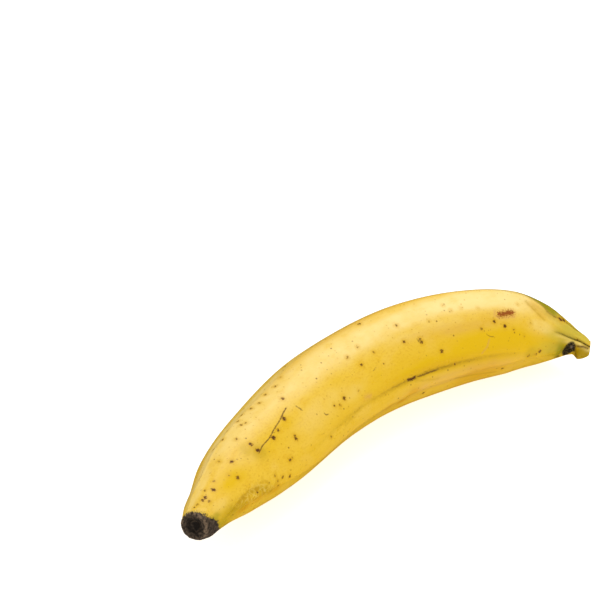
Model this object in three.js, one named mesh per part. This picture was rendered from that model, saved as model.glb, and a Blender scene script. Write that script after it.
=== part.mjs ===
// A ripe plantain lying on its side, grown as one piece and built as one closed solid.
// Millimetres, +Z up. The blossom end points to -X and the cut stem to +X. The hollow of
// the curve faces -Y and the back of the curve faces +Y. The origin is on the surface that
// the fruit lies on, under the middle of its box.
//
// A place on the skin is given by two numbers: how far it lies along the centre line from
// the blossom end, in millimetres, and how far round it lies, in degrees. 0 degrees is the
// middle of the hollow side, 90 is on top, 180 is the back and 270 is underneath.

import * as THREE from "three";

// The middle of the fruit, from the blossom end to the cut stem. The belly lies on the
// surface, the blossom end rises a little and the stem dips.
const CENTRE_LINE = [
  [-122.1, -37.5, 30.0],
  [-84.7, -13.6, 23.0],
  [-56.4, -1.2, 20.9],
  [-11.8, 14.0, 22.3],
  [38.5, 17.7, 22.9],
  [92.9, 5.6, 19.9],
  [124.2, -22.4, 14.9],
];

// Half the thickness, each with its distance along the centre line.
const HALF_WIDTHS = [
  [0, 6.9],
  [10, 9.6],
  [24, 12.3],
  [43, 17.0],
  [70, 21.8],
  [105, 24.2],
  [142, 24.5],
  [180, 24.7],
  [207, 23.3],
  [231, 20.7],
  [247, 15.5],
  [259, 9.1],
  [265, 6.3],
  [271, 5.6],
];

// The sides of the fruit: which way each faces, in degrees round, and how far out it lies
// as a share of the half width. The ridges stand where two sides meet. The second one only
// softens the top, between the side that faces 37 and the one that faces 138.
const SIDES = [
  [37, 1.02],
  [79, 1.08],
  [138, 0.97],
  [202, 0.96],
  [269, 0.94],
  [329, 0.97],
];
const SIDE_SHARPNESS = 6;
const ROUND_END_LENGTH = 40; // the blossom end is rounder than the belly
const ROUND_END_SHARE = 0.65;
const RIDGES = [-5, 169, 235, 301];
const RIDGE_HEIGHT = 0.6;
const RIDGE_SPREAD = 6; // degrees
const RIDGES_RISE = [8, 45]; // the distances over which they rise behind the blossom end
const RIDGES_FADE = [235, 262]; // and over which they lose some height towards the stem
const RIDGES_FADE_SHARE = 0.4;

// The upper ridge wanders: degrees round by distance, and height by distance.
const UPPER_RIDGE_LINE = [
  [0, 118],
  [60, 113],
  [170, 105],
  [215, 98],
  [236, 90],
  [250, 84],
  [271, 86],
];
const UPPER_RIDGE_HEIGHTS = [
  [0, 0.3],
  [40, 0.5],
  [110, 0.3],
  [190, 0.5],
  [225, 0.8],
  [250, 0.8],
  [266, 0.3],
  [271, 0.2],
];
const TWIST = 12; // degrees that the ridges turn towards the blossom end
const TWIST_LENGTH = 90;

// The furrow that runs along the hollow side above its ridge: degrees round by distance,
// and depth by distance. Near the blossom end it bends up and over like an arch.
const FURROW_LINE = [
  [0, -14],
  [16, -9],
  [23, 4],
  [31, 10],
  [38, 7],
  [47, -6],
  [60, 2],
  [75, 13],
  [90, 15],
  [123, 15],
  [140, 13],
  [175, 12],
  [200, 10],
  [219, 8],
  [232, 6],
  [271, 4],
];
const FURROW_SPREAD = 5; // degrees
const FURROW_DEPTHS = [
  [0, 0],
  [12, 0.3],
  [26, 1.1],
  [38, 0.8],
  [50, 0.1],
  [75, 0.1],
  [100, 0.5],
  [130, 0.8],
  [200, 0.8],
  [238, 0.5],
  [252, 0],
  [271, 0],
];

// Where the fruit swells: the lower side of the dried end, and the back of the neck. Each
// has its place along and round, its reach in millimetres along and in degrees round, and
// its height.
const SWELLINGS = [
  [4, -62, 5, 26, 1.1],
  [258, 124, 13, 26, 1.0],
];

// The blossom end: a dried button with a raised lip, a ring and a sunk middle. Each ring
// is a share of the rim's radius, and how deep it lies inside the rim.
const BUTTON_RINGS = [
  [0.93, -0.5],
  [0.8, -0.6],
  [0.68, 0.1],
  [0.56, -0.2],
  [0.42, 0.8],
  [0.24, 1.5],
];
const BUTTON_CENTRE_DEPTH = 1.6;
const BUTTON_TILT = 0.1; // how far the button looks up, as a slope
const BUTTON_TILT_LENGTH = 14;
const BUTTON_WAIST = 3.5; // where the skin draws in behind the lip
const BUTTON_WAIST_DEPTH = 0.2;
const BUTTON_WAIST_LENGTH = 2.2;

// The cut stem: a crease runs out to the end, with a dried pit under it and, past the pit,
// a square stub of stalk that hangs on the hollow side.
const CREASE_LINE = [
  [254, 52],
  [260, 55],
  [265, 52],
  [268, 43],
  [271, 30],
];
const CREASE_SPREAD = 8; // degrees
const CREASE_START = 254;
const CREASE_END = 260; // from here it has its full depth
const CREASE_DEPTH = 1.3;
const PIT_AT = [261.2, -4]; // along, round
const PIT_SIZE = [2.9, 40]; // millimetres along, degrees round
const PIT_DEPTH = 3.3;
const STUB_AT = -14; // degrees round
const STUB_SPREAD = 46;
const STUB_SQUARENESS = 0.6; // lower is squarer
const STUB_START = 264;
const STUB_END = 267.4; // from here it stands out in full
const STUB_HEIGHT = 4.5;
const STALK_DOME_START = 261; // from here the stalk rounds off to its end
const STALK_DOME_PAST_CUT = 1.0; // where the rounding would close if it weren't cut
const CUT_RINGS = [
  [0.9, -0.5],
  [0.62, -0.2],
  [0.3, 0.3],
];
const CUT_CENTRE_DEPTH = 0.4;

// How finely the skin is divided.
const COLUMNS = 60;
const FIRST_COLUMN = -5; // degrees, so that every ridge has a column of its own
const STEP_AT_ENDS = 1.2;
const STEP_GROWTH = 0.1;
const LONGEST_STEP = 4.2;
const HALF_CHORD = 0.05; // either side of a place, to find the direction of the line there

const PEEL_COLOUR = "#e9c02d";
const PEEL_ROUGHNESS = 0.45;

const { smoothstep, degToRad } = THREE.MathUtils;

// A smooth value between stations of [distance, value].
function between(stations, distance) {
  const last = stations.length - 1;
  let i = 0;
  while (i < last - 1 && stations[i + 1][0] <= distance) i++;
  const slope = (a, b) => (stations[b][1] - stations[a][1]) / (stations[b][0] - stations[a][0]);
  const [[from, start], [to, end]] = [stations[i], stations[i + 1]];
  const width = to - from;
  const t = (distance - from) / width;
  const slopeIn = slope(Math.max(i - 1, 0), i + 1) * width;
  const slopeOut = slope(i, Math.min(i + 2, last)) * width;
  return (
    (1 + 2 * t) * (1 - t) ** 2 * start +
    t * (1 - t) ** 2 * slopeIn +
    t ** 2 * (3 - 2 * t) * end +
    t ** 2 * (t - 1) * slopeOut
  );
}

// The centre line as three sets of stations, one for each direction.
const knots = CENTRE_LINE.map((p) => new THREE.Vector3(...p));
const knotDistances = [0];
for (let i = 1; i < knots.length; i++) {
  knotDistances.push(knotDistances[i - 1] + knots[i].distanceTo(knots[i - 1]));
}
const LENGTH = knotDistances[knots.length - 1];
const lineStations = ["x", "y", "z"].map((axis) => knots.map((p, i) => [knotDistances[i], p[axis]]));

function centreAt(distance) {
  return new THREE.Vector3(...lineStations.map((stations) => between(stations, distance)));
}

// The centre of the fruit at a distance, with the directions along it, towards the hollow
// side and upwards.
function frameAt(distance) {
  const ahead = centreAt(Math.min(distance + HALF_CHORD, LENGTH))
    .sub(centreAt(Math.max(distance - HALF_CHORD, 0)))
    .normalize();
  const hollow = new THREE.Vector3(ahead.y, -ahead.x, 0).normalize();
  const up = new THREE.Vector3().crossVectors(hollow, ahead);
  return { centre: centreAt(distance), ahead, hollow, up };
}

// The shortest turn from one angle to another, in degrees.
function turnFrom(target, around) {
  return THREE.MathUtils.euclideanModulo(around - target + 180, 360) - 180;
}

function bump(offset, spread) {
  return Math.exp(-((offset / spread) ** 2));
}

// The radius of a rounded outline whose sides are SIDES, for a half width of 1.
function sidedRadius(around) {
  let sum = 0;
  for (const [facing, out] of SIDES) {
    sum += Math.max(0, Math.cos(degToRad(around - facing)) / out) ** SIDE_SHARPNESS;
  }
  return sum ** (-1 / SIDE_SHARPNESS);
}

function bodyRadius(distance, around) {
  const sided = 1 - ROUND_END_SHARE * (1 - smoothstep(distance, 0, ROUND_END_LENGTH));
  const domeLength = LENGTH + STALK_DOME_PAST_CUT - STALK_DOME_START;
  const domed = Math.max(0, distance - STALK_DOME_START) / domeLength;
  const halfWidth = between(HALF_WIDTHS, distance) * Math.sqrt(1 - domed ** 2);
  let radius = halfWidth * (1 + sided * (sidedRadius(around) - 1));
  const faded = RIDGES_FADE_SHARE * smoothstep(distance, ...RIDGES_FADE);
  const ridgeHeight = RIDGE_HEIGHT * smoothstep(distance, ...RIDGES_RISE) * (1 - faded);
  for (const ridge of RIDGES) {
    radius += ridgeHeight * bump(turnFrom(ridge, around), RIDGE_SPREAD);
  }
  const offUpperRidge = turnFrom(between(UPPER_RIDGE_LINE, distance), around);
  radius += between(UPPER_RIDGE_HEIGHTS, distance) * bump(offUpperRidge, RIDGE_SPREAD);
  const offFurrow = turnFrom(between(FURROW_LINE, distance), around);
  radius -= between(FURROW_DEPTHS, distance) * bump(offFurrow, FURROW_SPREAD);
  radius -= BUTTON_WAIST_DEPTH * bump(distance - BUTTON_WAIST, BUTTON_WAIST_LENGTH);
  for (const [at, facing, length, spread, height] of SWELLINGS) {
    radius += height * bump(distance - at, length) * bump(turnFrom(facing, around), spread);
  }
  return radius;
}

function stemRadius(distance, around) {
  const [pitDistance, pitAround] = PIT_AT;
  const [pitLength, pitSpread] = PIT_SIZE;
  const pit = bump(distance - pitDistance, pitLength) * bump(turnFrom(pitAround, around), pitSpread);
  const offCrease = turnFrom(between(CREASE_LINE, Math.max(distance, CREASE_START)), around);
  const crease = smoothstep(distance, CREASE_START, CREASE_END) * bump(offCrease, CREASE_SPREAD);
  const stub =
    smoothstep(distance, STUB_START, STUB_END) *
    bump(turnFrom(STUB_AT, around), STUB_SPREAD) ** STUB_SQUARENESS;
  return STUB_HEIGHT * stub - CREASE_DEPTH * crease - PIT_DEPTH * pit;
}

// A point of the skin. share draws it in towards the centre line, and depth moves it into
// the fruit along the line, for the two end faces.
function skinPoint(distance, around, share = 1, depth = 0) {
  const { centre, ahead, hollow, up } = frameAt(distance);
  const radius = share * (bodyRadius(distance, around) + stemRadius(distance, around));
  const twist = TWIST * (1 - smoothstep(distance, 0, TWIST_LENGTH));
  const angle = degToRad(around + twist);
  const tilt = BUTTON_TILT * (1 - smoothstep(distance, 0, BUTTON_TILT_LENGTH));
  const rise = radius * Math.sin(angle);
  const point = centre
    .addScaledVector(hollow, radius * Math.cos(angle))
    .addScaledVector(up, rise)
    .addScaledVector(ahead, depth + tilt * rise);
  point.z = Math.max(point.z, 0); // the flat spot that it rests on
  return point;
}

// The rings of the skin, from the button's middle outwards, along the body and in over
// the cut.
function ringPlaces() {
  const distances = [0];
  while (distances[distances.length - 1] < LENGTH) {
    const here = distances[distances.length - 1];
    const fromEnd = Math.max(0, Math.min(here, LENGTH - here));
    distances.push(here + Math.min(LONGEST_STEP, STEP_AT_ENDS + STEP_GROWTH * fromEnd));
  }
  const fit = LENGTH / distances[distances.length - 1];
  return [
    ...BUTTON_RINGS.toReversed().map(([share, depth]) => [0, share, depth]),
    ...distances.map((distance) => [distance * fit, 1, 0]),
    ...CUT_RINGS.map(([share, depth]) => [LENGTH, share, -depth]),
  ];
}

function plantainGeometry() {
  const places = ringPlaces();
  const points = [];
  for (const [distance, share, depth] of places) {
    for (let column = 0; column < COLUMNS; column++) {
      const around = FIRST_COLUMN + (360 * column) / COLUMNS;
      points.push(skinPoint(distance, around, share, depth));
    }
  }
  const buttonCentre = points.push(skinPoint(0, 0, 0, BUTTON_CENTRE_DEPTH)) - 1;
  const cutCentre = points.push(skinPoint(LENGTH, 0, 0, -CUT_CENTRE_DEPTH)) - 1;

  const corners = [];
  const lastRing = (places.length - 1) * COLUMNS;
  for (let column = 0; column < COLUMNS; column++) {
    const next = (column + 1) % COLUMNS;
    for (let ring = 0; ring < places.length - 1; ring++) {
      const here = ring * COLUMNS;
      const beyond = here + COLUMNS;
      corners.push(here + column, beyond + column, beyond + next);
      corners.push(here + column, beyond + next, here + next);
    }
    corners.push(buttonCentre, column, next);
    corners.push(cutCentre, lastRing + next, lastRing + column);
  }

  const geometry = new THREE.BufferGeometry().setFromPoints(points);
  geometry.setIndex(corners);
  return geometry;
}

const peel = new THREE.MeshStandardMaterial({ color: PEEL_COLOUR, roughness: PEEL_ROUGHNESS, metalness: 0 });
const plantain = new THREE.Mesh(plantainGeometry(), peel);
plantain.name = "plantain";

const part = new THREE.Group();
part.add(plantain);

export default part;
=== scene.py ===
# A ripe plantain lying on its side on a pale table. Metres, +Z up. The blossom end points
# to -X, the cut stem to +X, and the hollow of the curve faces -Y.

from math import cos, radians, sin

import bmesh
import bpy
import numpy as np
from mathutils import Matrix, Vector, noise


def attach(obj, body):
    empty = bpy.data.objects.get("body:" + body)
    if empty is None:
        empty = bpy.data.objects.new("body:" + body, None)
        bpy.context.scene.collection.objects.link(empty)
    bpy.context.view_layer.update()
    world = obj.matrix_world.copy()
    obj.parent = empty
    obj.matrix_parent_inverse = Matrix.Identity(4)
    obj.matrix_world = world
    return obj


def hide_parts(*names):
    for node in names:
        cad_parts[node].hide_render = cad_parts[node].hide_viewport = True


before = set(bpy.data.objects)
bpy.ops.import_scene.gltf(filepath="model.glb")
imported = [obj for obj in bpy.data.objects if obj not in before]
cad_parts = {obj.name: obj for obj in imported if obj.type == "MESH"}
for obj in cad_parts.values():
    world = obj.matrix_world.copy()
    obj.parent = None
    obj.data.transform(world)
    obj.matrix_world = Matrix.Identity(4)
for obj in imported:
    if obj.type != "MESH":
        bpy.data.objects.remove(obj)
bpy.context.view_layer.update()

# The fruit: soft flesh under a thick, leathery peel. It grew round five seams, so it has
# five soft sides that meet in ridges, and it bent towards the light as it hung. A place on
# it is told by millimetres along from the blossom end and degrees round from the hollow.
MM = 0.001
CENTRE_LINE = [
    (-122.1, -37.5, 30.0),
    (-84.7, -13.6, 23.0),
    (-56.4, -1.2, 20.9),
    (-11.8, 14.0, 22.3),
    (38.5, 17.7, 22.9),
    (92.9, 5.6, 19.9),
    (124.2, -22.4, 14.9),
]
HALF_WIDTHS = [
    (0, 6.9), (10, 9.6), (24, 12.3), (43, 17.0), (70, 21.8), (105, 24.2), (142, 24.5),
    (180, 24.7), (207, 23.3), (231, 20.7), (247, 15.5), (259, 9.1), (265, 6.3), (271, 5.6),
]
SIDES = [(37, 1.02), (79, 1.08), (138, 0.97), (202, 0.96), (269, 0.94), (329, 0.97)]
SIDE_SHARPNESS = 6
ROUND_END_LENGTH = 40
ROUND_END_SHARE = 0.65
RIDGES = [-5, 169, 235, 301]
RIDGE_HEIGHT = 0.6
RIDGE_SPREAD = 6
RIDGES_RISE = (8, 45)
RIDGES_FADE = (235, 262)
RIDGES_FADE_SHARE = 0.4
UPPER_RIDGE_LINE = [(0, 118), (60, 113), (170, 105), (215, 98), (236, 90), (250, 84), (271, 86)]
UPPER_RIDGE_HEIGHTS = [
    (0, 0.3), (40, 0.5), (110, 0.3), (190, 0.5), (225, 0.8), (250, 0.8), (266, 0.3), (271, 0.2),
]
TWIST = 12
TWIST_LENGTH = 90
FURROW_LINE = [
    (0, -14), (16, -9), (23, 4), (31, 10), (38, 7), (47, -6), (60, 2), (75, 13), (90, 15),
    (123, 15), (140, 13), (175, 12), (200, 10), (219, 8), (232, 6), (271, 4),
]
FURROW_SPREAD = 5
FURROW_DEPTHS = [
    (0, 0), (12, 0.3), (26, 1.1), (38, 0.8), (50, 0.1), (75, 0.1), (100, 0.5), (130, 0.8),
    (200, 0.8), (238, 0.5), (252, 0), (271, 0),
]
SWELLINGS = [(4, -62, 5, 26, 1.1), (258, 124, 13, 26, 1.0)]
BUTTON_RINGS = [
    (0, 1.6), (0.24, 1.5), (0.42, 0.8), (0.56, -0.2), (0.68, 0.1), (0.8, -0.6),
    (0.93, -0.5), (1, 0),
]
BUTTON_TILT = 0.1
BUTTON_TILT_LENGTH = 14
BUTTON_WAIST = 3.5
BUTTON_WAIST_DEPTH = 0.2
BUTTON_WAIST_LENGTH = 2.2
CREASE_LINE = [(254, 52), (260, 55), (265, 52), (268, 43), (271, 30)]
CREASE_SPREAD = 8
CREASE_RISE = (254, 260)
CREASE_DEPTH = 1.3
PIT_AT = (261.2, -4)
PIT_SIZE = (2.9, 40)
PIT_DEPTH = 3.3
STUB_AT = -14
STUB_SPREAD = 46
STUB_SQUARENESS = 0.6
STUB_RISE = (264, 267.4)
STUB_HEIGHT = 4.5
STALK_DOME_START = 261
STALK_DOME_PAST_CUT = 1.0
CUT_RINGS = [(0, 0.4), (0.3, 0.3), (0.62, -0.2), (0.9, -0.5), (1, 0)]
COLUMNS = 232
BUTTON_ROWS = 24
END_ROWS = 36
END_LENGTH = 16
BELLY_ROWS = 306
CUT_ROWS = 12
HALF_CHORD = 0.05
BUTTON_RADIUS = HALF_WIDTHS[0][1]
CUT_RADIUS = HALF_WIDTHS[-1][1]


def between(stations, distance):
    """A smooth value between stations of (distance, value)."""
    at, *values = np.array(stations, float).T
    values = np.array(values).T.squeeze()
    slopes = np.gradient(values, axis=0)
    slopes[1:-1] = ((values[2:] - values[:-2]).T / (at[2:] - at[:-2])).T
    slopes[0] = (values[1] - values[0]) / (at[1] - at[0])
    slopes[-1] = (values[-1] - values[-2]) / (at[-1] - at[-2])
    i = np.clip(np.searchsorted(at, distance, side="right") - 1, 0, len(at) - 2)
    width = at[i + 1] - at[i]
    t = (distance - at[i]) / width
    if values.ndim > 1:
        width, t = width[..., None], t[..., None]
    return (
        (1 + 2 * t) * (1 - t) ** 2 * values[i]
        + t * (1 - t) ** 2 * slopes[i] * width
        + t**2 * (3 - 2 * t) * values[i + 1]
        + t**2 * (t - 1) * slopes[i + 1] * width
    )


def step(value, start, end):
    """Rises smoothly from 0 at start to 1 at end."""
    t = np.clip((value - start) / (end - start), 0, 1)
    return t * t * (3 - 2 * t)


def bump(offset, spread):
    """A soft rise, 1 where the offset is nought and nearly gone at twice the spread."""
    return np.exp(-((offset / spread) ** 2))


def turn_from(target, around):
    """Degrees round from target, between -180 and 180."""
    return (around - target + 180) % 360 - 180


knots = np.array(CENTRE_LINE)
knot_distances = np.append(0, np.cumsum(np.linalg.norm(np.diff(knots, axis=0), axis=1)))
LENGTH = knot_distances[-1]
line_stations = np.column_stack([knot_distances, knots])


def body_radius(distance, around):
    """From the centre line to the skin: the swell, the sides, the ridges and the furrow."""
    sided = 1 - ROUND_END_SHARE * (1 - step(distance, 0, ROUND_END_LENGTH))
    dome_length = LENGTH + STALK_DOME_PAST_CUT - STALK_DOME_START
    domed = np.maximum(0, distance - STALK_DOME_START) / dome_length
    sides = sum(
        (np.maximum(0, np.cos(np.radians(around - facing))) / out) ** SIDE_SHARPNESS
        for facing, out in SIDES
    )
    half_width = between(HALF_WIDTHS, distance) * np.sqrt(1 - domed**2)
    radius = half_width * (1 + sided * (sides ** (-1 / SIDE_SHARPNESS) - 1))
    faded = RIDGES_FADE_SHARE * step(distance, *RIDGES_FADE)
    ridge_height = RIDGE_HEIGHT * step(distance, *RIDGES_RISE) * (1 - faded)
    for ridge in RIDGES:
        radius = radius + ridge_height * bump(turn_from(ridge, around), RIDGE_SPREAD)
    off_upper_ridge = turn_from(between(UPPER_RIDGE_LINE, distance), around)
    radius += between(UPPER_RIDGE_HEIGHTS, distance) * bump(off_upper_ridge, RIDGE_SPREAD)
    off_furrow = turn_from(between(FURROW_LINE, distance), around)
    radius -= between(FURROW_DEPTHS, distance) * bump(off_furrow, FURROW_SPREAD)
    radius -= BUTTON_WAIST_DEPTH * bump(distance - BUTTON_WAIST, BUTTON_WAIST_LENGTH)
    for at, facing, length, spread, height in SWELLINGS:
        radius += height * bump(distance - at, length) * bump(turn_from(facing, around), spread)
    return radius


def stem_radius(distance, around):
    """What the stub of stalk adds to that, and its crease and pit take away."""
    pit = bump(distance - PIT_AT[0], PIT_SIZE[0]) * bump(turn_from(PIT_AT[1], around), PIT_SIZE[1])
    off_crease = turn_from(between(CREASE_LINE, np.maximum(distance, CREASE_RISE[0])), around)
    crease = step(distance, *CREASE_RISE) * bump(off_crease, CREASE_SPREAD)
    stub = step(distance, *STUB_RISE)
    stub = stub * bump(turn_from(STUB_AT, around), STUB_SPREAD) ** STUB_SQUARENESS
    return STUB_HEIGHT * stub - CREASE_DEPTH * crease - PIT_DEPTH * pit


def skin_points(distance, around, share, depth, relief):
    """Places on the skin in millimetres: share draws them in towards the centre line, depth
    moves them into the fruit along it, and relief raises them off the smooth form."""
    ahead = between(line_stations, np.minimum(distance + HALF_CHORD, LENGTH))
    ahead -= between(line_stations, np.maximum(distance - HALF_CHORD, 0))
    ahead /= np.linalg.norm(ahead, axis=-1, keepdims=True)
    hollow = np.stack([ahead[..., 1], -ahead[..., 0], 0 * ahead[..., 0]], axis=-1)
    hollow /= np.linalg.norm(hollow, axis=-1, keepdims=True)
    up = np.cross(hollow, ahead)
    radius = share * (body_radius(distance, around) + stem_radius(distance, around) + relief)
    angle = np.radians(around + TWIST * (1 - step(distance, 0, TWIST_LENGTH)))
    tilt = BUTTON_TILT * (1 - step(distance, 0, BUTTON_TILT_LENGTH))
    rise = radius * np.sin(angle)
    points = (
        between(line_stations, distance)
        + hollow * (radius * np.cos(angle))[..., None]
        + up * rise[..., None]
        + ahead * (depth + tilt * rise)[..., None]
    )
    points[..., 2] = np.maximum(points[..., 2], 0)
    return points


button_shares = np.arange(BUTTON_ROWS) / BUTTON_ROWS
cut_shares = 1 - np.arange(1, CUT_ROWS + 1) / CUT_ROWS
belly = np.concatenate([
    np.linspace(0, END_LENGTH, END_ROWS, endpoint=False),
    np.linspace(END_LENGTH, LENGTH - END_LENGTH, BELLY_ROWS, endpoint=False),
    np.linspace(LENGTH - END_LENGTH, LENGTH, END_ROWS),
])
row_distances = np.concatenate([0 * button_shares, belly, 0 * cut_shares + LENGTH])
row_shares = np.concatenate([button_shares, 0 * belly + 1, cut_shares])
row_depths = np.concatenate([
    between(BUTTON_RINGS, button_shares), 0 * belly, -between(CUT_RINGS, cut_shares),
])
ROWS = len(row_distances)
# On the two end faces the distance runs on over the edge and in towards the middle.
row_skin_distances = row_distances + np.where(
    row_distances > 0, CUT_RADIUS * (1 - row_shares), -BUTTON_RADIUS * (1 - row_shares)
)
around = np.linspace(0, 360, COLUMNS + 1)[None, :] + np.zeros((ROWS, 1))
distance = row_distances[:, None] + 0 * around
share = row_shares[:, None] + 0 * around
depth = row_depths[:, None] + 0 * around

# The fruit is nearly straightened out for its grain and spots, so that they follow it.
straight = np.stack([
    share * between(HALF_WIDTHS, distance) * np.cos(np.radians(around)),
    share * between(HALF_WIDTHS, distance) * np.sin(np.radians(around)),
    distance + depth,
], axis=-1)


def lumps(places, size):
    """Smooth noise from -1 to 1, at places in millimetres, with lumps of that size."""
    flat = places.reshape(-1, 3) / size
    return np.array([noise.noise(Vector(place)) for place in flat]).reshape(places.shape[:-1])


# Soft dents of a fruit that has lain with others, none where it lies on the table, then
# the woody lumps of the dried end, puckers by it, and the fibres of the neck. Each has its
# size across and along the fruit, its depth, and where it is.
UNDERSIDE, UNDERSIDE_SPREAD = 270, 40
PUCKERS_AT, PUCKERS_SIZE = (40, -6), (14, 16)
held_up = 1 - bump(turn_from(UNDERSIDE, around), UNDERSIDE_SPREAD)
puckered = bump(distance - PUCKERS_AT[0], PUCKERS_SIZE[0])
puckered = puckered * bump(turn_from(PUCKERS_AT[1], around), PUCKERS_SIZE[1])
relief = 0 * distance
for across_size, long_size, deep, where in (
    (17, 40, 0.28, held_up),
    (2.2, 2.6, 0.6, 1 - step(distance, 3, 11)),
    (2.6, 3.4, 0.45, puckered),
    (1.8, 14, 0.3, step(distance, 244, 262)),
):
    bumpy = 0.5 + 0.5 * lumps(straight, np.array((across_size, across_size, long_size)))
    relief -= deep * where * bumpy
BEAD_AT, BEAD_SIZE, BEAD_HEIGHT = (263.2, 10), (0.9, 10), 0.9
NICK_AT, NICK_SIZE, NICK_DEPTH = (257.7, -45), (1.0, 9), 0.7
for (at, facing), (length, spread), high in (
    (BEAD_AT, BEAD_SIZE, BEAD_HEIGHT), (NICK_AT, NICK_SIZE, -NICK_DEPTH),
):
    relief += high * bump(distance - at, length) * bump(turn_from(facing, around), spread)

# The rings of the dried end wander a little, most of all halfway in.
RING_WANDER = 0.14
WANDER_LUMPS_MM = 3.5
wander = RING_WANDER * share * (1 - share) * 4 * lumps(straight, WANDER_LUMPS_MM)
depth = np.where(distance > 0, depth, between(BUTTON_RINGS, np.clip(share + wander, 0, 1)))

points = skin_points(distance, around, share, depth, relief)
skin = bmesh.new()
along_layer = skin.verts.layers.float.new("along")
around_layer = skin.verts.layers.float.new("round")
straight_layer = skin.verts.layers.float_vector.new("straight")
bmesh.ops.create_grid(skin, x_segments=COLUMNS, y_segments=ROWS - 1, size=0.5)
for vert in skin.verts:
    column = round((vert.co.x + 0.5) * COLUMNS)
    row = round((vert.co.y + 0.5) * (ROWS - 1))
    vert[along_layer] = row_skin_distances[row]
    vert[around_layer] = around[row, column]
    vert[straight_layer] = straight[row, column]
    vert.co = points[row, column] * MM
MERGE_DISTANCE = 1e-7
bmesh.ops.remove_doubles(skin, verts=skin.verts, dist=MERGE_DISTANCE)
bmesh.ops.recalc_face_normals(skin, faces=skin.faces)
for face in skin.faces:
    face.smooth = True
peel_mesh = bpy.data.meshes.new("plantain_peel")
skin.to_mesh(peel_mesh)
skin.free()
plantain = bpy.data.objects.new("plantain_peel", peel_mesh)
bpy.context.collection.objects.link(plantain)

along = np.empty(len(peel_mesh.vertices), np.float32)
peel_mesh.attributes["along"].data.foreach_get("value", along)
turned = np.empty_like(along)
peel_mesh.attributes["round"].data.foreach_get("value", turned)
on_side = np.clip(along, 0, LENGTH)
girth = between(HALF_WIDTHS, on_side)
# Further away than any mark on the skin reaches.
FAR_MM = 9.0


def paint(name, values):
    """Keeps a value for every point of the skin, for the peel's finish to read."""
    kept_values = peel_mesh.attributes.new(name, "FLOAT", "POINT").data
    kept_values.foreach_set("value", values.astype(np.float32))


def from_line(places):
    """How far each point of the skin lies beside a line of places on it, past its ends and
    away from it, in millimetres."""
    ats, facings = np.array(places, float).T
    first_at, first_round = places[0]
    line_girth = between(HALF_WIDTHS, ats).mean()
    corners = np.stack([ats - first_at, line_girth * np.radians(facings - first_round)], axis=-1)
    turned_by = np.radians(turn_from(first_round, turned))
    here = np.stack([along - first_at, line_girth * turned_by], axis=-1)
    away = np.linalg.norm(here, axis=-1)
    side, past = away.copy(), away.copy()
    ways = np.diff(corners, axis=0)
    spans = np.linalg.norm(ways, axis=-1)
    if len(spans):
        away[:] = np.inf
    run = 0
    for corner, way, span in zip(corners, ways, spans):
        forward = (here - corner) @ way / span
        beside = (here[:, 0] - corner[0]) * way[1] / span - (here[:, 1] - corner[1]) * way[0] / span
        reach = np.hypot(beside, np.maximum(0, np.maximum(-forward, forward - span)))
        nearer = reach < away
        away = np.where(nearer, reach, away)
        side = np.where(nearer, beside, side)
        past = np.where(nearer, np.maximum(-(run + forward), run + forward - sum(spans)), past)
        run += span
    return side, past, away


# The peel's finish: ripe plantain peel, yellow with a thin natural wax, which gives a broad
# soft shine. It is mottled, and a little streaked along the fruit. Each mottle has its size
# in millimetres, the noise where it starts and is full, its strength and its tint.
RIPE = "#ecc135"
MOTTLES = [
    ("broad", (34, 34, 60), 0.5, 0.7, 0.35, "#e4b312"),
    ("cloudy", (9, 9, 14), 0.52, 0.72, 0.3, "#f3cd6a"),
    ("blotchy", (5, 5, 7), 0.48, 0.3, 0.25, "#e2ae14"),
    ("streaky", (1.3, 1.3, 24), 0.5, 0.75, 0.16, "#dfa81c"),
    ("grainy", (0.9, 0.9, 1.3), 0.48, 0.7, 0.42, "#d29c14"),
]

wax = bpy.data.materials.new("ripe_plantain_peel")
wax.use_nodes = True
wax.node_tree.nodes.clear()


def linear(colour):
    """A colour that a shader reads, from its sRGB hex value."""
    parts = [int(colour[i : i + 2], 16) / 255 for i in (1, 3, 5)]
    return [p / 12.92 if p <= 0.04045 else ((p + 0.055) / 1.055) ** 2.4 for p in parts] + [1]


def node(kind, inputs, **settings):
    """Adds a node with its settings, and its inputs set or linked by name or number."""
    made = wax.node_tree.nodes.new("ShaderNode" + kind)
    for name, value in settings.items():
        setattr(made, name, value)
    for place, value in inputs.items():
        if isinstance(value, bpy.types.NodeSocket):
            wax.node_tree.links.new(value, made.inputs[place])
        else:
            made.inputs[place].default_value = value
    return made


straightened = node("Attribute", {}, attribute_name="straight").outputs["Vector"]
patterns = {}
colour = node("RGB", {}).outputs[0]
colour.default_value = linear(RIPE)
for name, sizes, low, high, most, tint in MOTTLES:
    stretched = node("Mapping", {"Vector": straightened, "Scale": [1 / size for size in sizes]})
    patterns[name] = node("TexNoise", {
        "Vector": stretched.outputs[0], "Scale": 1.0, "Detail": 3.0,
    }).outputs[0]
    colour = node("Mix", {
        0: node("MapRange", {0: patterns[name], 1: low, 2: high, 3: 0.0, 4: most}).outputs[0],
        6: colour,
        7: linear(tint),
    }, data_type="RGBA").outputs[2]

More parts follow.
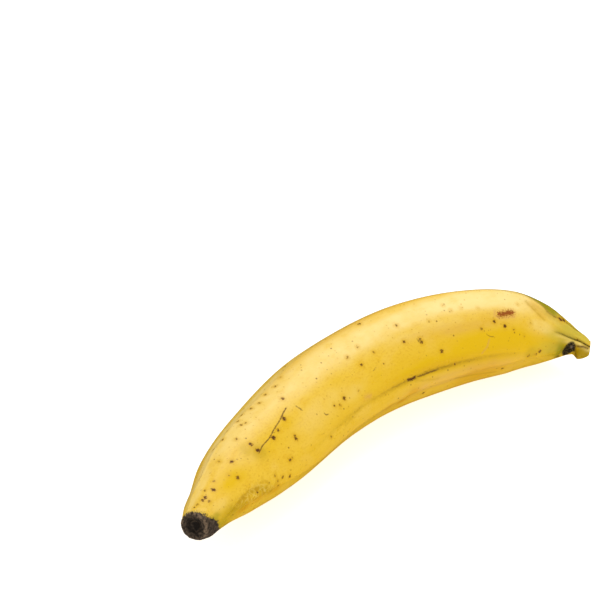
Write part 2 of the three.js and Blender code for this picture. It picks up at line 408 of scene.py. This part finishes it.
# How the peel ripened: deep gold along the hollow side, tan on the ridge below, and green last
# of all on the neck, the stalk and beside the blossom end. The pale patches are mostly a painted
# highlight along the top and over the rim beyond the upper ridge, and partly pale peel.
# Each patch has its place along and round, its reach in millimetres and degrees, its share.
RIPENESS = [
    ("gold", "#e5b800", [
        (214, 20, 40, 22, 1.15), (182, 18, 40, 12, 1.0), (113, 53, 5, 9, 0.4), (66, 50, 9, 12, 0.4),
        (74, 60, 4, 8, 0.7), (56, 50, 6, 10, 0.5), (120, 17, 30, 5, 0.5), (83, 18, 16, 6, 0.35),
        (26, 56, 7, 17, 0.95), (32, 46, 4, 12, 0.6), (140, 26, 40, 14, 0.45), (120, -6, 120, 14, 0.5),
        (250, 22, 9, 20, 0.8), (21, 66, 10, 13, 0.85), (120, 35, 10, 9, 0.7), (158, -4, 16, 10, 0.6),
        (140, -12, 12, 8, 0.5), (108, 30, 30, 14, 0.5), (238, 0, 20, 20, 0.7),
    ]),
    # Pale: mostly painted highlight on the top and the rim, partly pale peel.
    ("pale_and_highlight", "#f8da86", [
        (68, 100, 36, 20, 0.6), (150, 80, 60, 14, 0.65), (95, 44, 20, 16, 0.2), (247, 52, 8, 12, 0.45),
        (205, 84, 40, 15, 0.95), (228, 84, 14, 20, 0.9), (118, 36, 9, 8, 0.25), (6, 118, 9, 20, 0.5),
        (115, 92, 50, 17, 0.6), (262, 30, 4, 9, 0.6), (245, 90, 10, 14, 0.45), (178, 62, 28, 8, 0.3),
        (44, 62, 9, 16, 0.2), (11, 34, 6, 16, 0.3), (36, 124, 30, 15, 0.7), (112, 108, 40, 9, 0.35),
        (75, 120, 34, 14, 0.6), (18, 104, 12, 12, 0.5),
    ]),
    ("tan", "#dfb04a", [
        (190, -6, 46, 10, 0.75), (150, -12, 26, 12, 0.4), (200, 50, 20, 6, 0.5), (180, 55, 16, 5, 0.35),
        (218, 56, 10, 9, 0.3), (100, -8, 36, 12, 0.3), (230, -14, 20, 16, 0.35), (24, 140, 20, 16, 0.3),
        (150, 112, 70, 9, 0.3),
    ]),
    ("orange", "#d49a08", [
        (27.5, -17, 6, 16, 0.85), (50, -14, 5, 10, 0.6), (38, -14, 6, 10, 0.6), (152, -16, 4, 5, 0.7),
        (158, -5, 4, 6, 0.55), (141, -11, 3, 5, 0.6), (241, 82, 4, 7, 0.35), (245, 74, 3, 7, 0.3),
        (160, 106, 50, 5, 0.2), (206, -20, 15, 20, 0.5),
    ]),
    ("olive", "#c09c08", [
        (14, -10, 8, 24, 0.75), (22, -8, 8, 10, 0.6), (39, 0, 7, 9, 0.4),
        (257, 0, 6, 30, 0.8), (264, 78, 8, 26, 0.45), (268, -50, 6, 50, 0.95), (262, 60, 7, 10, 0.6),
        (252, -40, 10, 26, 0.4), (46, 68, 3, 10, 0.4), (50, 53, 4, 12, 0.5), (8, 200, 8, 70, 0.5),
        (243, 4, 4, 9, 0.55), (268, 180, 12, 60, 0.6), (250, 84, 5, 8, 0.5), (13, -46, 6, 16, 0.85),
    ]),
    ("lime", "#cbb63c", [
        (264, 74, 9, 34, 0.8), (256, 42, 6, 12, 0.5), (252, 14, 6, 14, 0.35), (262, 130, 12, 40, 0.6),
    ]),
    ("stub", "#a38200", [(268.6, 0, 3.6, 26, 1.0)]),
    # Dark green; over the strip on the neck it is also painted shade.
    ("dark_green_and_shade", "#9c8f14", [
        (258, -8, 2.0, 34, 0.8), (8, -24, 4, 16, 0.3), (6, 14, 2.5, 10, 0.5), (256, 53, 3, 7, 0.4),
        (252, 160, 18, 34, 0.45), (259, 22, 1.6, 8, 0.4),
    ]),
]
# The green strip lies beyond a line that wanders on the upper side of the neck: green peel,
# painted darker for the shade on the face that turns away beyond the ridge.
STRIP_LINE = [
    (226, 114), (232, 109), (238, 102), (242, 97), (245, 92), (248, 84), (252, 84), (256, 93),
    (262, 98),
]
STRIP_SHARES = [(0, 0), (210, 0), (228, 0.5), (238, 1), (250, 1), (256, 0.5), (264, 0.3), (271, 0.2)]
STRIP_EDGE = (-2, 4)
STRIP_FADE = (20, 80)
PATCH_FULLNESS = 1.5


def patch(at, facing, length, spread, strength):
    """A soft patch round a place on the skin, full in its middle."""
    soft = PATCH_FULLNESS * bump(along - at, length) * bump(turn_from(facing, turned), spread)
    return strength * np.minimum(1, soft)


on_neck = np.clip(along, STRIP_LINE[0][0], STRIP_LINE[-1][0])
past_strip_line = turn_from(between(STRIP_LINE, on_neck), turned)
shaded_green_strip = between(STRIP_SHARES, on_side) * step(past_strip_line, *STRIP_EDGE)
shaded_green_strip *= 1 - step(past_strip_line, *STRIP_FADE)
for name, tint, patches in RIPENESS:
    spread = [patch(*places) for places in patches] + [shaded_green_strip] * (name == "dark_green_and_shade")
    paint(name, np.max(spread, axis=0))
    colour = node("Mix", {
        0: node("Math", {
            0: node("Attribute", {}, attribute_name=name).outputs["Fac"],
            1: node("MapRange", {0: patterns["blotchy"], 1: 0.3, 2: 0.7, 3: 0.75, 4: 1.3}).outputs[0],
        }, operation="MULTIPLY", use_clamp=True).outputs[0],
        6: colour,
        7: linear(tint),
    }, data_type="RGBA").outputs[2]

# Creases and rubs of the skin: shade painted dark along the furrow above the ridge on the hollow
# side, over a faint brown line, and gold beside it; shade painted in the valley near the blossom
# end and at the furrow's start; the puckers' crinkles painted light and dark; and faint lines
# where the fruit was rubbed.
FURROW_SHADE_AND_GILT = [
    (0, 0), (60, 0), (88, 0.1), (106, 0.25), (120, 0.15), (150, 0.5), (176, 0.75), (200, 0.4),
    (222, 0.2), (240, 0), (271, 0),
]
FOLDS_AND_SHADE = [
    # Painted shade in the valley by the blossom end and at the furrow's start, with faint dark lines.
    ("#b58c02", [
        ([(47, -11), (37, 7), (31, 9), (24, 2), (17, -11)], 2.0, 0.4),
        ([(104, 11), (108, 11), (114, 13), (120, 15)], 1.0, 0.25),
        ([(188, -10), (201, -18), (218, -29)], 0.7, 0.6),
        ([(160, 8), (170, 3), (176, 1)], 0.6, 0.35),
        ([(236, 84), (242, 74), (247, 66)], 0.6, 0.5),
        ([(240, 80), (244, 72)], 1.0, 0.3),
    ]),
    ("#6f5410", [
        ([(230, 110), (238, 101), (242, 96), (245, 91), (248, 83), (252, 83), (255, 88)], 0.45, 0.65),
        ([(254.4, 104), (258.3, 97), (263, 98.5), (266, 110)], 0.45, 0.7),
        ([(256.6, -46), (258.2, -20), (259, 0)], 0.6, 0.4),
    ]),
    ("#cf9660", [
        ([(217, 66), (216, 58), (219, 55)], 0.5, 0.4),
        ([(228, 57), (222, 55)], 0.8, 0.4),
        ([(210, 30), (208, 22), (204, 15)], 0.4, 0.45),
        ([(125, 22), (128, 20)], 1.5, 0.3),
    ]),
]
FURROW_WIDTH = 1.0
GILT_BESIDE, GILT_WIDTH = 1.7, 2.4
CRINKLES_AT, CRINKLES_SIZE = (36, -2), (15, 20)
CRINKLE_MM = 2.5
furrow_off = girth * np.radians(turn_from(between(FURROW_LINE, on_side), turned))
shade_and_gilt = between(FURROW_SHADE_AND_GILT, on_side)
paint("furrow", shade_and_gilt * bump(furrow_off, FURROW_WIDTH))
paint("gilt", shade_and_gilt * bump(furrow_off - GILT_BESIDE, GILT_WIDTH))
crinkled = bump(along - CRINKLES_AT[0], CRINKLES_SIZE[0])
paint("crinkle_light_and_shade", crinkled * bump(turn_from(CRINKLES_AT[1], turned), CRINKLES_SIZE[1]))
# The furrow's dark is painted shade along it; the gilt beside it is the peel's gold.
folds_and_shade = [("gilt", "#dcaa06"), ("furrow", "#a47c06")]
for number, (tint, lines) in enumerate(FOLDS_AND_SHADE):
    paint(f"folds_{number}", np.max([
        strength * bump(from_line(places)[2], reach) for places, reach, strength in lines
    ], axis=0))
    folds_and_shade.append((f"folds_{number}", tint))
# The crinkles of the puckered valley are painted on: shade in the dips of a crinkly noise and highlight
# lines along its crests.
crinkly = node("TexNoise", {"Vector": straightened, "Scale": 1 / CRINKLE_MM, "Detail": 0.5}).outputs[0]
crests = node("Math", {
    0: node("Math", {0: crinkly, 1: 0.5}, operation="SUBTRACT").outputs[0],
}, operation="ABSOLUTE").outputs[0]
fold_grain = node("MapRange", {0: patterns["grainy"], 1: 0.3, 2: 0.7, 3: 0.6, 4: 1.4}).outputs[0]
shade_in_dips = node("MapRange", {0: crinkly, 1: 0.54, 2: 0.64, 3: 0.0, 4: 0.6}).outputs[0]
highlight_on_crests = node("MapRange", {0: crests, 1: 0.05, 2: 0.0, 3: 0.0, 4: 0.55}).outputs[0]
for name, tint, uneven in [(name, tint, fold_grain) for name, tint in folds_and_shade] + [
    ("crinkle_light_and_shade", "#b98a08", shade_in_dips),
    ("crinkle_light_and_shade", "#f0d068", highlight_on_crests),
]:
    colour = node("Mix", {
        0: node("Math", {
            0: node("Attribute", {}, attribute_name=name).outputs["Fac"],
            1: uneven,
        }, operation="MULTIPLY", use_clamp=True).outputs[0],
        6: colour,
        7: linear(tint),
    }, data_type="RGBA").outputs[2]

# Ripening flecks: sugar spots where the peel has browned, each a dark grain in a golden
# halo, with pin dots in between, all over the fruit. Places are along, round and size.
FLECKS = [
    (84, 85, 0.7), (74.9, 66, 0.95), (62.2, 56, 1.0), (50.1, 56, 1.0), (67.4, 60, 0.6),
    (50.1, 69, 0.75), (35.6, 73, 0.75), (30.2, 45, 0.7), (16.3, 69, 0.9), (10, 76, 0.8),
    (7.9, 78, 0.55), (44.1, 124, 0.5), (73.1, 42, 0.5), (72.8, 38, 0.75), (62.5, 20, 0.6),
    (64.3, 21, 0.4), (49.8, 12, 0.4), (54.7, 4, 0.6), (59.8, 0, 0.55), (51.4, 2, 0.35),
    (51.7, -6, 0.4), (35.9, 1, 0.4), (111.2, 36, 0.85), (103.3, 37, 0.5), (106.3, 33, 0.45),
    (132.6, 55, 0.6), (128.4, 71, 0.45), (137.2, 75, 0.35), (162.5, 76, 0.5), (161.3, 55, 0.6),
    (170.7, 51, 0.55), (170.7, 47, 0.65), (180, 30, 0.8), (168.9, -22, 0.9), (190.9, 83, 0),
    (193.3, 74, 0.1), (199.1, 74.5, -0.1), (179.7, 68.5, -0.1), (208.1, 71, 0),
    (215.1, 51, 0.75), (221.1, 44, 0.85), (226.6, 39, 0.25), (206.6, 44, 0.5),
    (221.4, -21, 0.75), (186.7, 11, 0.45), (231.1, 76, 0), (239.6, 52, 0), (235.6, 30.5, 0.15),
    (248, 6, 0.65), (245.9, 0, 0.5), (241, -2, 0.4), (71, 108, 0.6), (108.8, 126, 0.6),
    (148.6, 101, 0.6), (58.3, 100, 0.5), (48.6, 90, 0.5), (118, 200, 0.8), (64, 230, 0.7),
    (150, 160, 0.6), (205, 190, 0.9), (92, 175, 0.6), (180, 235, 0.7), (38, 210, 0.6),
    (48, 112, 0.45), (55, 118, 0.4), (61, 110, 0.45), (66, 114, 0.4), (76, 104, 0.45),
    (83, 107, 0.5), (90, 104, 0.45), (97, 108, 0.35), (60, 96, 0.35), (5, 88, 0.3),
    (3.4, 94, 0.3), (14, 86, 0.3), (9, 60, 0.35), (21, 80, 0.3), (33, 92, 0.35), (28, 62, 0.25),
    (92, 12, 0.35), (143, 60, 0.35), (122.3, 32.5, 0.1), (255, 90, 1.1), (256.6, 97, 0.8),
]
# From the halo in: where each tint starts and is full in millimetres, and its strength.
FLECK_FINISH = [
    (2.0, 0.1, 0.5, "#d3a108"), (0.5, -0.1, 0.75, "#a57204"), (0.2, -0.25, 1.0, "#643c00"),
]
# The edges of marks fray on a real fruit too, but finer than would show.
FRAYS_PER_MM = 1.4
fleck = np.min([from_line([(at, facing)])[2] - size for at, facing, size in FLECKS], axis=0)
paint("fleck", np.minimum(fleck, FAR_MM))
fine = node("TexNoise", {"Vector": straightened, "Scale": FRAYS_PER_MM, "Detail": 2.0}).outputs[0]
ragged_fleck = node("Math", {
    0: node("Attribute", {}, attribute_name="fleck").outputs["Fac"],
    1: node("MapRange", {0: fine, 1: 0.3, 2: 0.7, 3: -0.4, 4: 0.4}).outputs[0],
}, operation="ADD").outputs[0]
for reach, inner, most, tint in FLECK_FINISH:
    flecked = node("MapRange", {0: ragged_fleck, 1: reach, 2: inner, 3: 0.0, 4: most}).outputs[0]
    colour = node("Mix", {0: flecked, 6: colour, 7: linear(tint)}, data_type="RGBA").outputs[2]

# Pin dots: the gap between them in millimetres, where each one starts and is full as a
# share of the gap, its strength and its tint.
PIN_DOTS = [(3.6, 0.17, 0.08, 0.85, "#8a5c06"), (2.2, 0.22, 0.09, 0.6, "#b78408")]
for gap, reach, inner, most, tint in PIN_DOTS:
    dots = node("TexVoronoi", {"Vector": straightened, "Scale": 1 / gap})
    chosen = node("SeparateColor", {0: dots.outputs["Color"]}).outputs[0]
    near = node("MapRange", {0: dots.outputs["Distance"], 1: reach, 2: inner, 3: 0.0, 4: 1.0})
    dark = node("MapRange", {0: chosen, 1: 0.4, 2: 0.9, 3: 0.0, 4: most})
    colour = node("Mix", {
        0: node("Math", {0: near.outputs[0], 1: dark.outputs[0]}, operation="MULTIPLY").outputs[0],
        6: colour,
        7: linear(tint),
    }, data_type="RGBA").outputs[2]

# Scratches: one long crack of the peel on the upper side near the blossom end, short rubs,
# and a dark scuff in the furrow. Each follows its places and has half a width and a share.
SCRATCHES = [
    ([(80.7, 74), (77.3, 72), (72.5, 68), (65.9, 64), (60.4, 59), (54.4, 57), (49.2, 52)], 0.28, 0.85),
    ([(85.2, 69), (85.5, 65), (86.1, 59.5)], 0.35, 0.7),
    ([(95.2, 39), (95.5, 36.2), (97, 34.8)], 0.3, 0.7),
    ([(154.6, 13.5), (157.5, 12.4), (160.4, 12.6)], 0.75, 1.0),
    ([(161.8, 12), (166, 11.2), (171, 11.6), (175.4, 11)], 0.35, 0.7),
    ([(143, 14), (147, 13), (153, 13)], 0.3, 0.25),
    ([(209.1, 36), (210.6, 33), (213, 32)], 0.22, 0.6),
    ([(168.8, 52), (169.4, 47.5)], 0.3, 0.6),
    ([(170.6, 52), (171, 47)], 0.3, 0.5),
    ([(136.5, 42), (139, 44)], 0.25, 0.4),
]
SCRATCH_REACH_MM = 2.5
scratch_side, scratch_past = np.full((2, len(along)), FAR_MM)
scratch_share = np.zeros(len(along))
nearest = np.full(len(along), np.inf)
for places, half_width, strength in SCRATCHES:
    side, past, away = from_line(places)
    nearer = (away < SCRATCH_REACH_MM) & (away / half_width < nearest)
    nearest = np.where(nearer, away / half_width, nearest)
    scratch_side = np.where(nearer, side / half_width, scratch_side)
    scratch_past = np.where(nearer, past, scratch_past)
    scratch_share = np.where(nearer, strength, scratch_share)
for name, values in (
    ("scratch_side", scratch_side), ("scratch_past", scratch_past), ("scratch_share", scratch_share),
):
    paint(name, values)
frayed = node("MapRange", {0: fine, 1: 0.3, 2: 0.7, 3: -0.5, 4: 0.7}).outputs[0]
across = node("Math", {
    0: node("Math", {
        0: node("Attribute", {}, attribute_name="scratch_side").outputs["Fac"],
    }, operation="ABSOLUTE").outputs[0],
    1: frayed,
}, operation="ADD").outputs[0]
beyond = node("Math", {
    0: node("Attribute", {}, attribute_name="scratch_past").outputs["Fac"], 1: frayed,
}, operation="ADD").outputs[0]
scratched = node("Math", {
    0: node("Math", {
        0: node("MapRange", {0: across, 1: 1.7, 2: 0.4, 3: 0.0, 4: 1.0}).outputs[0],
        1: node("MapRange", {0: beyond, 1: 0.6, 2: -0.5, 3: 0.0, 4: 1.0}).outputs[0],
    }, operation="MULTIPLY").outputs[0],
    1: node("Attribute", {}, attribute_name="scratch_share").outputs["Fac"],
}, operation="MULTIPLY").outputs[0]
colour = node("Mix", {0: scratched, 6: colour, 7: linear("#5c3204")}, data_type="RGBA").outputs[2]

# A bruise on the top near the neck: skin that was pressed and dried reddish brown, with a
# frayed edge.
BRUISE = [(219.2, 59.5), (223, 61), (227, 62.5)]
BRUISE_REACH = 1.5
BRUISE_FINISH = [(2.0, -0.2, 0.45, "#dfa648"), (0.5, -0.7, 0.95, "#94470f")]
paint("bruise", np.minimum(from_line(BRUISE)[2] - BRUISE_REACH, FAR_MM))
ragged_bruise = node("Math", {
    0: node("Attribute", {}, attribute_name="bruise").outputs["Fac"],
    1: node("MapRange", {0: fine, 1: 0.3, 2: 0.7, 3: -1.1, 4: 1.1}).outputs[0],
}, operation="ADD").outputs[0]
for reach, inner, most, tint in BRUISE_FINISH:
    colour = node("Mix", {
        0: node("MapRange", {0: ragged_bruise, 1: reach, 2: inner, 3: 0.0, 4: most}).outputs[0],
        6: colour,
        7: linear(tint),
    }, data_type="RGBA").outputs[2]

# The blossom end: the dried stump of the flower, black-brown and woody, in uneven rings,
# with a ragged edge that reaches further down the underside than up the top.
CAP_EDGE = [
    (-90, 9), (-70, 11), (-54, 12.0), (-38, 9.4), (-20, 8.0), (0, 6.3), (24, 3.2), (54, 1.9),
    (91, 0.4), (140, 0.2), (180, 0.8), (230, 4), (270, 9),
]
# How light the dried end is from its middle out: lighter rings of wood, with a painted highlight on the
# raised rim by its edge.
RING_TONES_AND_RIM_HIGHLIGHT = [
    (-6.9, 0), (-5.4, 0.05), (-4.6, 0.3), (-3.9, 0.1), (-2.9, 0.12), (-2.0, 0.5), (-1.4, 0.2),
    (-0.6, 0.8), (0.3, 0.9), (1.5, 0.45), (12, 0.5), (271, 0.5),
]
paint("cap", between(CAP_EDGE, turn_from(90, turned) + 90) - along)
grain = np.empty(3 * len(along), np.float32)
peel_mesh.attributes["straight"].data.foreach_get("vector", grain)
RING_LUMPS_MM, RING_STRAY_MM = 2.2, 1.6
BARK_MM = 1.25
stray = RING_STRAY_MM * lumps(grain.reshape(-1, 3), RING_LUMPS_MM)
paint("rings_and_rim_highlight", between(RING_TONES_AND_RIM_HIGHLIGHT, np.clip(along + stray, RING_TONES_AND_RIM_HIGHLIGHT[0][0], LENGTH)))
ragged_cap = node("Math", {
    0: node("Attribute", {}, attribute_name="cap").outputs["Fac"],
    1: node("MapRange", {0: fine, 1: 0.25, 2: 0.75, 3: -1.1, 4: 1.1}).outputs[0],
}, operation="ADD").outputs[0]
capped = node("MapRange", {0: ragged_cap, 1: -0.3, 2: 0.3, 3: 0.0, 4: 1.0}).outputs[0]
bark = node("TexNoise", {
    "Vector": straightened, "Scale": 1 / BARK_MM, "Detail": 4.0, "Roughness": 0.6,
}).outputs[0]
cap_colour = node("Mix", {
    0: node("Math", {
        0: node("Attribute", {}, attribute_name="rings_and_rim_highlight").outputs["Fac"],
        1: node("MapRange", {0: bark, 1: 0.38, 2: 0.66, 3: 0.15, 4: 1.4}).outputs[0],
    }, operation="MULTIPLY", use_clamp=True).outputs[0],
    6: linear("#231b14"),
    7: linear("#75604a"),
}, data_type="RGBA").outputs[2]
colour = node("Mix", {
    0: node("MapRange", {0: ragged_cap, 1: -1.6, 2: 0.0, 3: 0.0, 4: 0.55}).outputs[0],
    6: colour,
    7: linear("#8d7a1c"),
}, data_type="RGBA").outputs[2]
colour = node("Mix", {0: capped, 6: colour, 7: cap_colour}, data_type="RGBA").outputs[2]

# The stalk: green-gold and fibrous, cut square. A crease runs out to its end, painted dark along
# its bottom for the shade in it and pale below, over a black dried pit where the bract broke
# off, with a painted glint on the bead in the pit.
CREASE_TINTS = [(0, 0), (252, 0), (256, 0.5), (262, 0.7), (271, 1), (280, 1)]
CREASE_PALE_BESIDE, CREASE_PALE_WIDTH, CREASE_SHADE_WIDTH = 1.4, 0.9, 0.5
STUB_BORDER = [(264.6, 24), (265, 10), (265.6, -6), (266.4, -30)]
STUB_TOP = [(264.8, 22), (266.5, 25.5), (268.5, 27), (270.8, 20)]
crease_off = girth * np.radians(
    turn_from(between(CREASE_LINE, np.clip(along, CREASE_RISE[0], LENGTH)), turned)
)
crease_share = between(CREASE_TINTS, along)
NICK_LINE = [(257.4, -43), (258, -52)]
BEAD_GLINT_LINE = [(263.2, 14), (263, 6)]
PIT_MARK_AT, PIT_MARK_SIZE = (262.2, -10), (2.7, 50)
PIT_MARK_SLANT = 0.02
PIT_MARK_EDGE = (-0.12, 0.16)
pit_round = turn_from(PIT_MARK_AT[1], turned)
pit_along = along - PIT_MARK_AT[0] - PIT_MARK_SLANT * pit_round
pit_inside = 1 - np.hypot(pit_along / PIT_MARK_SIZE[0], pit_round / PIT_MARK_SIZE[1])
stalk_tones = [
    ("crease_pale", "#e6cc74", (
        0.7 * crease_share * bump(crease_off + CREASE_PALE_BESIDE, CREASE_PALE_WIDTH)
    )),
    # Painted shade along the bottom of the crease.
    ("crease_shade", "#43360a", crease_share * bump(crease_off, CREASE_SHADE_WIDTH)),
    ("stub_edge", "#5e3d0c", np.maximum(
        0.85 * bump(from_line(STUB_TOP)[2], 0.45), 0.6 * bump(from_line(STUB_BORDER)[2], 0.6),
    )),
    ("nick", "#55420f", 0.8 * bump(from_line(NICK_LINE)[2], 1.0)),
    ("pit", "#201810", step(pit_inside, *PIT_MARK_EDGE)),
    # A painted glint on the bead in the pit.
    ("bead_glint", "#7c6c60", 0.9 * bump(from_line(BEAD_GLINT_LINE)[2], 0.5)),
]
for name, tint, values in stalk_tones:
    paint(name, values)
    colour = node("Mix", {
        0: node("Math", {
            0: node("Attribute", {}, attribute_name=name).outputs["Fac"],
            1: node("MapRange", {0: fine, 1: 0.3, 2: 0.7, 3: 0.75, 4: 1.25}).outputs[0],
        }, operation="MULTIPLY", use_clamp=True).outputs[0],
        6: colour,
        7: linear(tint),
    }, data_type="RGBA").outputs[2]

# The whole finish joined up: the wax makes sound peel smooth, and it is gone where the
# peel has dried, flecked or been scratched.
WAXY_ROUGHNESS = (0.27, 0.32)
DRY_ROUGHNESS = 0.6
WAXY_BUMP, DRY_BUMP = 0.2, 0.9
BUMP_MM = 0.15
# Real pores are finer, but would not show.
PORE_MM = 0.7
dry = node("Math", {
    0: capped, 1: node("Attribute", {}, attribute_name="pit").outputs["Fac"],
}, operation="MAXIMUM").outputs[0]
waxless = node("Math", {
    0: dry, 1: node("Math", {0: flecked, 1: scratched}, operation="MAXIMUM").outputs[0],
}, operation="MAXIMUM").outputs[0]
roughness = node("Mix", {
    0: waxless,
    2: node("MapRange", {
        0: patterns["blotchy"], 1: 0.3, 2: 0.7, 3: WAXY_ROUGHNESS[0], 4: WAXY_ROUGHNESS[1],
    }).outputs[0],
    3: DRY_ROUGHNESS,
}, data_type="FLOAT").outputs[0]
pores = node("TexNoise", {"Vector": straightened, "Scale": 1 / PORE_MM, "Detail": 2.0}).outputs[0]
height = node("Mix", {0: dry, 2: pores, 3: bark}, data_type="FLOAT").outputs[0]
bumped = node("Bump", {
    "Height": height,
    "Strength": node("Mix", {0: dry, 2: WAXY_BUMP, 3: DRY_BUMP}, data_type="FLOAT").outputs[0],
    "Distance": BUMP_MM * MM,
})
shader = node("BsdfPrincipled", {
    "Base Color": colour, "Roughness": roughness, "Normal": bumped.outputs[0],
    "IOR": 1.5, "Specular IOR Level": 0.25,
})
node("OutputMaterial", {"Surface": shader.outputs[0]})
peel_mesh.materials.append(wax)
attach(plantain, "root")
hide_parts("plantain")

# The table: a smooth sheet of white acrylic, much wider than the fruit and lit a little
# from below, so that hardly any shadow shows on it.
TABLE_REACH = 3.0
TABLE_GAP = 0.0002
TABLE_WHITE = "#cacac9"
TABLE_GLOW = 0.7
board = bmesh.new()
bmesh.ops.create_grid(board, x_segments=1, y_segments=1, size=TABLE_REACH)
table_mesh = bpy.data.meshes.new("table")
board.to_mesh(table_mesh)
board.free()
table = bpy.data.objects.new("table", table_mesh)
bpy.context.collection.objects.link(table)
table.location.z = -TABLE_GAP
white = bpy.data.materials.new("matt_white_acrylic")
white.use_nodes = True
for place, value in (
    ("Base Color", linear(TABLE_WHITE)),
    ("Roughness", 0.9),
    ("Emission Color", (1, 1, 1, 1)),
    ("Emission Strength", TABLE_GLOW),
):
    white.node_tree.nodes["Principled BSDF"].inputs[place].default_value = value
table_mesh.materials.append(white)
table.visible_glossy = False

# The light: one large soft box overhead and a little behind the fruit, in a white room.
# Neither the room nor the table is mirrored in the wax, so the yellow stays deep.
KEY_FROM = Vector((0.57, 0.42, 1.17))
KEY_SIZE = 0.85
KEY_POWER = 6.5
ROOM_STRENGTH = 0.9
key_light = bpy.data.lights.new("soft_box", "AREA")
key_light.shape = "SQUARE"
key_light.size = KEY_SIZE
key_light.energy = KEY_POWER
key = bpy.data.objects.new("soft_box", key_light)
key.location = KEY_FROM
key.rotation_euler = (-KEY_FROM).to_track_quat("-Z", "Y").to_euler()
bpy.context.collection.objects.link(key)
room = bpy.data.worlds.new("white_room")
room.use_nodes = True
room.node_tree.nodes["Background"].inputs["Color"].default_value = (1, 1, 1, 1)
room.node_tree.nodes["Background"].inputs["Strength"].default_value = ROOM_STRENGTH
room.cycles_visibility.glossy = False
bpy.context.scene.world = room
bpy.context.scene.view_settings.view_transform = "Standard"

# The camera: a long lens that looks down on the fruit across its hollow side, from far
# enough off that neither end is drawn large.
CAMERA_TURN = -35
CAMERA_RISE = 36
CAMERA_DISTANCE = 1.2
CAMERA_TARGET = Vector((0.0388, 0.1099, 0))
LENS_MM = 135.85
SENSOR_MM = 36
eye = Vector((
    sin(radians(CAMERA_TURN)) * cos(radians(CAMERA_RISE)),
    -cos(radians(CAMERA_TURN)) * cos(radians(CAMERA_RISE)),
    sin(radians(CAMERA_RISE)),
))
lens = bpy.data.cameras.new("camera")
lens.lens = LENS_MM
lens.sensor_width = SENSOR_MM
camera = bpy.data.objects.new("camera", lens)
camera.location = CAMERA_TARGET + eye * CAMERA_DISTANCE
camera.rotation_euler = (-eye).to_track_quat("-Z", "Y").to_euler()
bpy.context.collection.objects.link(camera)
bpy.context.scene.camera = camera
